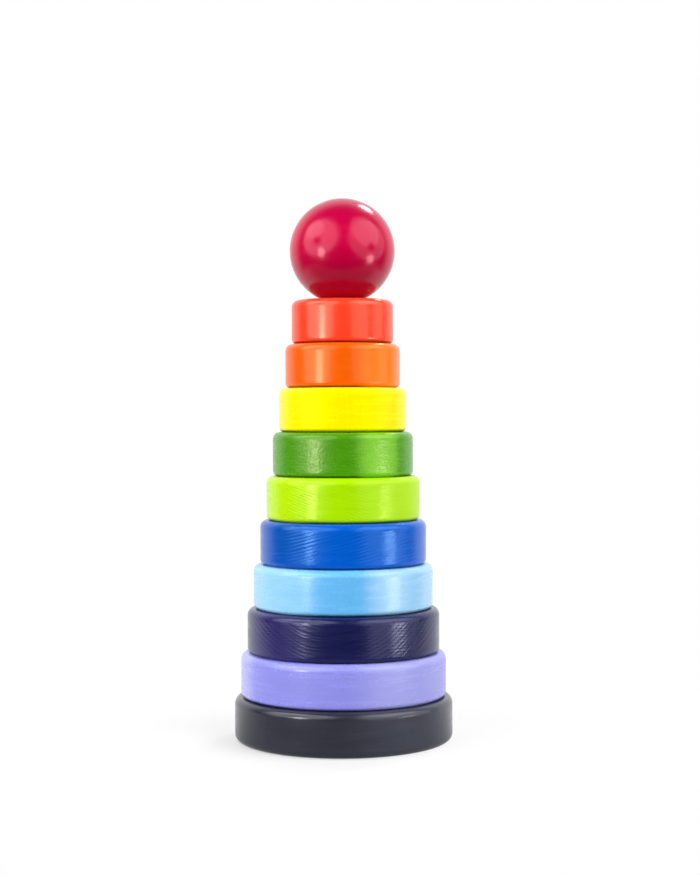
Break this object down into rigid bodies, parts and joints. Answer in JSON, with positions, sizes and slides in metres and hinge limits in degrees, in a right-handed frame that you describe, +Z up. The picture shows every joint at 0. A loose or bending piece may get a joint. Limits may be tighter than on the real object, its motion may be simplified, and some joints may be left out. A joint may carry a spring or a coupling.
{
  "type": "stacking pyramid",
  "caption": "Wooden stacking pyramid: graduated painted rings threaded on an upright peg in a dark round base, with a drilled ball on top; the pieces lift off the peg one by one.",
  "frame": {"origin": "centre of the base's underside, on the table", "axes": "+Z up along the peg; the toy is turned about +Z, so X and Y are any two horizontal directions"},
  "size_m": [0.093, 0.093, 0.2311],
  "materials": {
    "black_paint": "satin",
    "bare_beech": "matte",
    "lavender_paint": "satin",
    "indigo_paint": "satin",
    "sky_blue_paint": "satin",
    "blue_paint": "satin",
    "lime_paint": "satin",
    "green_paint": "satin",
    "yellow_paint": "satin",
    "orange_paint": "satin",
    "coral_paint": "satin",
    "red_paint": "gloss"
  },
  "bodies": {
    "base": {"black_base": "black_paint", "centre_peg": "bare_beech"},
    "lavender": {"lavender_ring": "lavender_paint"},
    "indigo": {"indigo_ring": "indigo_paint"},
    "sky_blue": {"sky_blue_ring": "sky_blue_paint"},
    "blue": {"blue_ring": "blue_paint"},
    "lime": {"lime_ring": "lime_paint"},
    "green": {"green_ring": "green_paint"},
    "yellow": {"yellow_ring": "yellow_paint"},
    "orange": {"orange_ring": "orange_paint"},
    "coral": {"coral_ring": "coral_paint"},
    "ball": {"red_ball": "red_paint"}
  },
  "joints": [
    {"name": "lavender_lift", "type": "slide", "parent": "base", "child": "lavender", "axis": [0, 0, 1], "range_m": [0, 0.19375]},
    {"name": "indigo_lift", "type": "slide", "parent": "lavender", "child": "indigo", "axis": [0, 0, 1], "range_m": [0, 0.175]},
    {"name": "sky_blue_lift", "type": "slide", "parent": "indigo", "child": "sky_blue", "axis": [0, 0, 1], "range_m": [0, 0.15625]},
    {"name": "blue_lift", "type": "slide", "parent": "sky_blue", "child": "blue", "axis": [0, 0, 1], "range_m": [0, 0.1375]},
    {"name": "lime_lift", "type": "slide", "parent": "blue", "child": "lime", "axis": [0, 0, 1], "range_m": [0, 0.11875]},
    {"name": "green_lift", "type": "slide", "parent": "lime", "child": "green", "axis": [0, 0, 1], "range_m": [0, 0.1]},
    {"name": "yellow_lift", "type": "slide", "parent": "green", "child": "yellow", "axis": [0, 0, 1], "range_m": [0, 0.08125]},
    {"name": "orange_lift", "type": "slide", "parent": "yellow", "child": "orange", "axis": [0, 0, 1], "range_m": [0, 0.0625]},
    {"name": "coral_lift", "type": "slide", "parent": "orange", "child": "coral", "axis": [0, 0, 1], "range_m": [0, 0.04375]},
    {"name": "ball_lift", "type": "slide", "parent": "coral", "child": "ball", "axis": [0, 0, 1], "range_m": [0, 0.025]}
  ]
}
